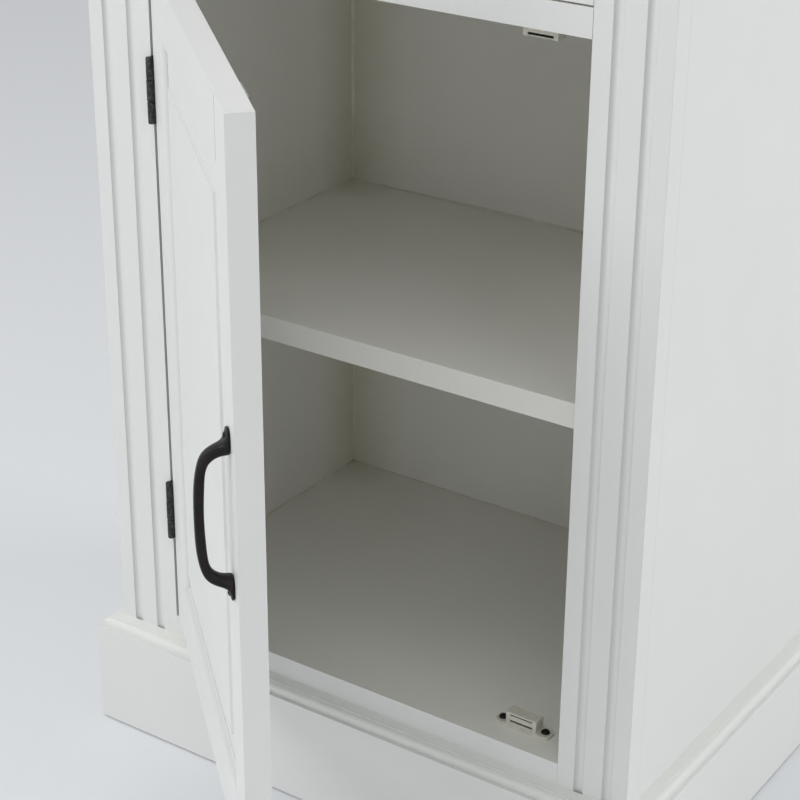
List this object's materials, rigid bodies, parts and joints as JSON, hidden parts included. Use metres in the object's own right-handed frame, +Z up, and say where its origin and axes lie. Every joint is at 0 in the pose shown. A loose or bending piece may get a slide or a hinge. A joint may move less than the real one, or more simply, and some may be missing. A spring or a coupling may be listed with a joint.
{
  "type": "highboard",
  "caption": "Painted framed highboard: inset panelled door on butt hinges over a shelved compartment, inset drawers above, fluted stiles, moulded plinth and iron arch pulls.",
  "frame": {"origin": "floor level, mid-width, on the front plane of the face frame", "axes": "+X to the right seen from the front, +Y to the back, +Z up"},
  "size_m": [0.568, 0.6285, 1.126],
  "materials": {
    "painted_wood": "satin cool-white paint",
    "bare_pine": "planed, bare",
    "black_iron": "forged, waxed black-brown",
    "bright_steel": "zinc plated, dull",
    "catch_plastic": "moulded, off-white"
  },
  "bodies": {
    "case": {"left_side": "painted_wood", "right_side": "painted_wood", "back_panel": "painted_wood", "bottom_panel": "painted_wood", "shelf": "painted_wood", "divider_panel": "painted_wood", "left_stile": "painted_wood", "right_stile": "painted_wood", "bottom_rail": "painted_wood", "middle_rail": "painted_wood", "drawer_rail": "painted_wood", "top_rail": "painted_wood", "top_board": "painted_wood", "top_moulding": "painted_wood", "front_plinth": "painted_wood", "left_plinth": "painted_wood", "right_plinth": "painted_wood", "base_moulding": "painted_wood", "rear_base_rail": "bare_pine", "wall_rail": "bare_pine", "glue_blocks": "bare_pine", "drawer_guides": "bare_pine", "drawer_runners": "bare_pine", "drawer_kickers": "bare_pine", "drawer_stops": "bare_pine", "lower_catch_body": "catch_plastic", "upper_catch_body": "catch_plastic", "catch_poles": "bright_steel", "catch_screws": "black_iron", "upper_hinge_frame_leaf": "black_iron", "lower_hinge_frame_leaf": "black_iron", "hinge_pins": "black_iron", "hinge_frame_screws": "black_iron"},
    "door": {"door_hinge_stile": "painted_wood", "door_lock_stile": "painted_wood", "door_top_rail": "painted_wood", "door_bottom_rail": "painted_wood", "door_panel": "painted_wood", "upper_hinge_door_leaf": "black_iron", "lower_hinge_door_leaf": "black_iron", "hinge_door_screws": "black_iron", "door_pull": "black_iron", "door_pull_screws": "black_iron", "strike_plates": "bright_steel", "strike_screws": "bright_steel"},
    "lower_drawer": {"lower_drawer_front": "painted_wood", "lower_drawer_left_side": "bare_pine", "lower_drawer_right_side": "bare_pine", "lower_drawer_back": "bare_pine", "lower_drawer_bottom": "bare_pine", "lower_drawer_pull": "black_iron", "lower_drawer_pull_screws": "black_iron"},
    "upper_drawer": {"upper_drawer_front": "painted_wood", "upper_drawer_left_side": "bare_pine", "upper_drawer_right_side": "bare_pine", "upper_drawer_back": "bare_pine", "upper_drawer_bottom": "bare_pine", "upper_drawer_pull": "black_iron", "upper_drawer_pull_screws": "black_iron"}
  },
  "joints": [
    {"name": "door_hinge", "type": "hinge", "parent": "case", "child": "door", "pos_m": [-0.199, -0.0034, 0.43], "axis": [0, 0, -1], "range_deg": [-42.8, 127.2]},
    {"name": "lower_drawer_slide", "type": "slide", "parent": "case", "child": "lower_drawer", "axis": [0, -1, 0], "range_m": [0, 0.26]},
    {"name": "upper_drawer_slide", "type": "slide", "parent": "case", "child": "upper_drawer", "axis": [0, -1, 0], "range_m": [0, 0.26]}
  ]
}
